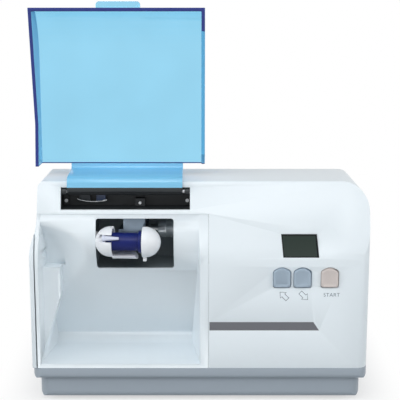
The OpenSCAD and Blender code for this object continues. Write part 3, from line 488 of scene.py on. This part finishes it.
def shade_strap_foot():
    """The strap's foot, below the slot's lip, painted black as painted shade from the slot."""
    strap = SKIN["lid_strap"]
    strap.data.materials.append(black_abs)
    lip_z = tray_z + 128.9 * MM
    split(strap, lambda face: True, lip_z)
    for face in strap.data.polygons:
        # Faces below the lip take black as painted shade
        if face.center.z < lip_z:
            face.material_index = 1


shade_strap_foot()


def seat(piece, name, material):
    """A new piece on the housing: at the origin, unturned, with its finish."""
    pick(piece)
    piece.name = name
    bpy.ops.object.transform_apply(location=True, rotation=True, scale=True)
    piece.data.materials.clear()
    piece.data.materials.append(material)
    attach(piece, "housing")


def stroke(points, radius, closed=False, flat=1.0):
    """A round line through points, made a mesh; flat squashes it onto an upright face."""
    deselect()
    bpy.ops.curve.primitive_bezier_curve_add(location=(0, 0, 0))
    line = bpy.context.object
    data = line.data
    data.splines.clear()
    spline = data.splines.new("POLY")
    spline.points.add(len(points) - 1)
    for point, place in zip(spline.points, points):
        point.co = (*place, 1)
    spline.use_cyclic_u = closed
    data.dimensions = "3D"
    data.bevel_depth = radius
    data.bevel_resolution = 3
    data.use_fill_caps = True
    bpy.ops.object.convert(target="MESH")
    line = bpy.context.object
    if flat != 1.0:
        middle = points[0][1]
        for vertex in line.data.vertices:
            vertex.co.y = middle + (vertex.co.y - middle) * flat
    bpy.ops.object.shade_smooth_by_angle(angle=PIECE_SMOOTH)
    return line


def block(name, low, high, edge_mm, material):
    """A box between two corners with rounded edges."""
    deselect()
    low, high = Vector(low), Vector(high)
    bpy.ops.mesh.primitive_cube_add(size=1.0, location=(low + high) / 2)
    box = bpy.context.object
    box.scale = high - low
    bpy.ops.object.transform_apply(location=True, rotation=True, scale=True)
    mode("EDIT")
    bpy.ops.mesh.bevel(offset=edge_mm * MM, segments=2)
    mode("OBJECT")
    bpy.ops.object.shade_smooth_by_angle(angle=PIECE_SMOOTH)
    seat(box, name, material)


# At the back of the slot: two posts, the leaf that steadies the strap, and a small cover plate
SLOT_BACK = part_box("slot_trough")[1].y - 1.5 * MM
POST_FRONT = SLOT_BACK - 4.2 * MM
POST_LOW, POST_HIGH = 0.1432, 0.1535
PLATE_FRONT = SLOT_BACK - 0.8 * MM
LEAF = [(-0.0885, 0.1452), (-0.0860, 0.1442), (-0.0820, 0.1434), (-0.0780, 0.1431), (-0.0740, 0.1431),
        (-0.0700, 0.1436), (-0.0672, 0.1444)]

# The right post carries the painted blue reflection
for name, left, right, material in (("slot_post_left", -0.0872, -0.0790, post_abs),
                                    ("slot_post_right", -0.0748, -0.0680, post_painted_blue)):
    block(name, (left, POST_FRONT, POST_LOW), (right, SLOT_BACK, POST_HIGH), 0.6, material)
block("slot_plate", (-0.0505, PLATE_FRONT, 0.1468), (-0.0460, SLOT_BACK, 0.1513), 0.3,
      post_abs)
for name, places, out_mm, radius_mm in (("slot_leaf", LEAF, 0.4, 0.35),
                                        ("slot_leaf_end", LEAF[-2:], 0.5, 0.75)):
    leaf = stroke([(x, POST_FRONT - out_mm * MM, z) for x, z in places], radius_mm * MM)
    seat(leaf, name, chrome)

# The mains inlet's three blades, standing on the floor of its recess
inlet_low, inlet_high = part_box("power_inlet")
inlet_mid = (inlet_low + inlet_high) / 2
BLADE_HALF_X, BLADE_HALF_Z = 1 * MM, 2 * MM
BLADE_FOOT, BLADE_TIP = housing_high.y - 13.9 * MM, housing_high.y - 3.5 * MM
for name, x, z in (("inlet_blade_earth", 0.0, 2.6), ("inlet_blade_left", -7.0, -1.8),
                   ("inlet_blade_right", 7.0, -1.8)):
    middle = inlet_mid + Vector((x, 0, z)) * MM
    block(name, (middle.x - BLADE_HALF_X, BLADE_FOOT, middle.z - BLADE_HALF_Z),
          (middle.x + BLADE_HALF_X, BLADE_TIP, middle.z + BLADE_HALF_Z), 0.5, plain_steel)

# Printing below the keys: two hollow arrows and a word
ARROW_Z = tray_z + 53.6 * MM
ARROW = [(0, 3.9), (2.9, 0.6), (1.45, 0.6), (1.45, -3.6), (-1.45, -3.6), (-1.45, 0.6), (-2.9, 0.6)]
ARROW_LINE = 0.3 * MM
ARROW_FLAT = 0.15
WORD_Z = tray_z + 54.2 * MM
# A capital's height as a share of the type's size
CAPITAL = 0.72
INK_DEPTH = 0.03 * MM
LETTER_SPACING = 1.08


def arrow(name, x, turn):
    """The outline of an arrow, turned by degrees on the front face."""
    cos, sin = math.cos(math.radians(turn)), math.sin(math.radians(turn))
    points = [(x + (px * cos - pz * sin) * MM, front_y, ARROW_Z + (px * sin + pz * cos) * MM)
              for px, pz in ARROW]
    seat(stroke(points, ARROW_LINE, closed=True, flat=ARROW_FLAT), name, panel_ink)


def word(name, letters, x, height_mm):
    """Printed letters, centred, with capitals of that height."""
    deselect()
    bpy.ops.object.text_add(location=(0, 0, 0))
    text = bpy.context.object.data
    text.body = letters
    text.align_x = "CENTER"
    text.align_y = "CENTER"
    text.size = height_mm / CAPITAL * MM
    text.extrude = INK_DEPTH
    text.space_character = LETTER_SPACING
    bpy.ops.object.convert(target="MESH")
    label = bpy.context.object
    label.rotation_euler = (math.pi / 2, 0, 0)
    label.location = (x, front_y, WORD_Z)
    seat(label, name, panel_ink)


arrow("arrow_up", 0.0592, 45)
arrow("arrow_down", 0.0733, -135)
word("start_label", "START", 0.0929, 2.7)

# Studio: white floor and surround, soft lamps
WHITE = (1, 1, 1, 1)
SURROUND = "#F2F6F8"
SURROUND_STRENGTH = 0.24
FLOOR_PAPER = "#C4C8CA"
FLOOR_SIZE = 8.0
# Half of the footprint, how far past it the shadow shows, and the share of white in the shadow
FOOT = (housing_high.x - 4 * MM, housing_high.y - 4 * MM, 0)
SHADOW_REACH = 0.04
SHADOW_WHITE = 0.6
AIM = Vector((0, 0, 0.1))


def seen_white(tree):
    """1 for rays that show the background: from the camera, through clear plastic, or off gloss."""
    rays = add(tree, "ShaderNodeLightPath")
    direct = add(tree, "ShaderNodeMath", [(0, rays, "Is Camera Ray"), (1, rays, "Is Transmission Ray")],
                 operation="MAXIMUM")
    return add(tree, "ShaderNodeMath", [(0, direct, 0), (1, rays, "Is Glossy Ray")], operation="MAXIMUM")


def studio():
    """A surround that is plain white to look at, and lights the object only weakly."""
    world = bpy.data.worlds.new("white surround")
    bpy.context.scene.world = world
    world.use_nodes = True
    tree = world.node_tree
    tree.nodes.clear()
    plain = add(tree, "ShaderNodeBackground", in_Color=linear(SURROUND), in_Strength=SURROUND_STRENGTH)
    white = add(tree, "ShaderNodeBackground", in_Color=WHITE, in_Strength=1.0)
    mix = add(tree, "ShaderNodeMixShader", [(0, seen_white(tree), 0), (1, plain, 0), (2, white, 0)])
    add(tree, "ShaderNodeOutputWorld", [("Surface", mix, 0)])


def floor():
    """White to the eye away from the object, paper near it, so that its shadow stays."""
    deselect()
    bpy.ops.mesh.primitive_plane_add(size=FLOOR_SIZE, location=(0, 0, 0))
    sheet = bpy.context.object
    sheet.name = "floor"
    material = bpy.data.materials.new("white paper")
    material.use_nodes = True
    tree = material.node_tree
    tree.nodes.clear()
    place = add(tree, "ShaderNodeTexCoord")
    size = add(tree, "ShaderNodeVectorMath", [(0, place, "Object")], operation="ABSOLUTE")
    past = add(tree, "ShaderNodeVectorMath", [(0, size, "Vector")], operation="SUBTRACT", in_1=FOOT)
    outside = add(tree, "ShaderNodeVectorMath", [(0, past, "Vector")], operation="MAXIMUM", in_1=(0, 0, 0))
    away = add(tree, "ShaderNodeVectorMath", [(0, outside, "Vector")], operation="LENGTH")
    fade = add(tree, "ShaderNodeMapRange", [("Value", away, "Value")], interpolation_type="SMOOTHSTEP",
               in_From_Min=0.0, in_From_Max=SHADOW_REACH, in_To_Min=SHADOW_WHITE, in_To_Max=1.0)
    share = add(tree, "ShaderNodeMath", [(0, seen_white(tree), 0), (1, fade, 0)], operation="MULTIPLY")
    looked_at = add(tree, "ShaderNodeLightPath")
    tint = add(tree, "ShaderNodeMix", [("Factor", looked_at, "Is Camera Ray")], data_type="RGBA")
    tint.inputs[MIX_DARK].default_value = linear(FLOOR_PAPER)
    tint.inputs[MIX_LIGHT].default_value = WHITE
    paper = add(tree, "ShaderNodeBsdfDiffuse", [("Color", tint, MIX_RESULT)])
    white = add(tree, "ShaderNodeEmission", in_Color=WHITE, in_Strength=1.0)
    mix = add(tree, "ShaderNodeMixShader", [(0, share, 0), (1, paper, 0), (2, white, 0)])
    add(tree, "ShaderNodeOutputMaterial", [("Surface", mix, 0)])
    sheet.data.materials.append(material)


def lamp(name, place, size, watts):
    """A soft box aimed at the object."""
    light = bpy.data.lights.new(name, "AREA")
    light.shape = "RECTANGLE"
    light.size, light.size_y = size
    light.energy = watts
    made = bpy.data.objects.new(name, light)
    made.location = place
    made.rotation_euler = (AIM - Vector(place)).to_track_quat("-Z", "Y").to_euler()
    bpy.context.scene.collection.objects.link(made)


def camera():
    view = bpy.data.cameras.new("camera")
    view.lens = LENS_MM
    view.sensor_width = SENSOR_MM
    view.clip_start = 0.01
    made = bpy.data.objects.new("camera", view)
    made.location = (0, front_y - CAMERA_BACK, tray_z + CAMERA_UP)
    made.rotation_euler = (math.pi / 2 - CAMERA_DOWN, 0, 0)
    bpy.context.scene.collection.objects.link(made)
    bpy.context.scene.camera = made


studio()
floor()
camera()
lamp("overhead softbox", (-0.10, -0.75, 1.15), (1.1, 0.9), 3.2)
lamp("left softbox", (-1.1, -0.7, 0.6), (0.8, 0.8), 7.0)
lamp("right softbox", (1.1, -0.7, 0.6), (0.8, 0.8), 5.6)
lamp("high front softbox", (0.0, -1.3, 1.15), (1.2, 0.6), 5.9)
lamp("rear left softbox", (-1.2, 1.0, 0.5), (0.7, 0.6), 2.4)
lamp("rear right softbox", (1.2, 1.0, 0.5), (0.7, 0.6), 2.4)

bpy.context.scene.view_settings.view_transform = "Standard"
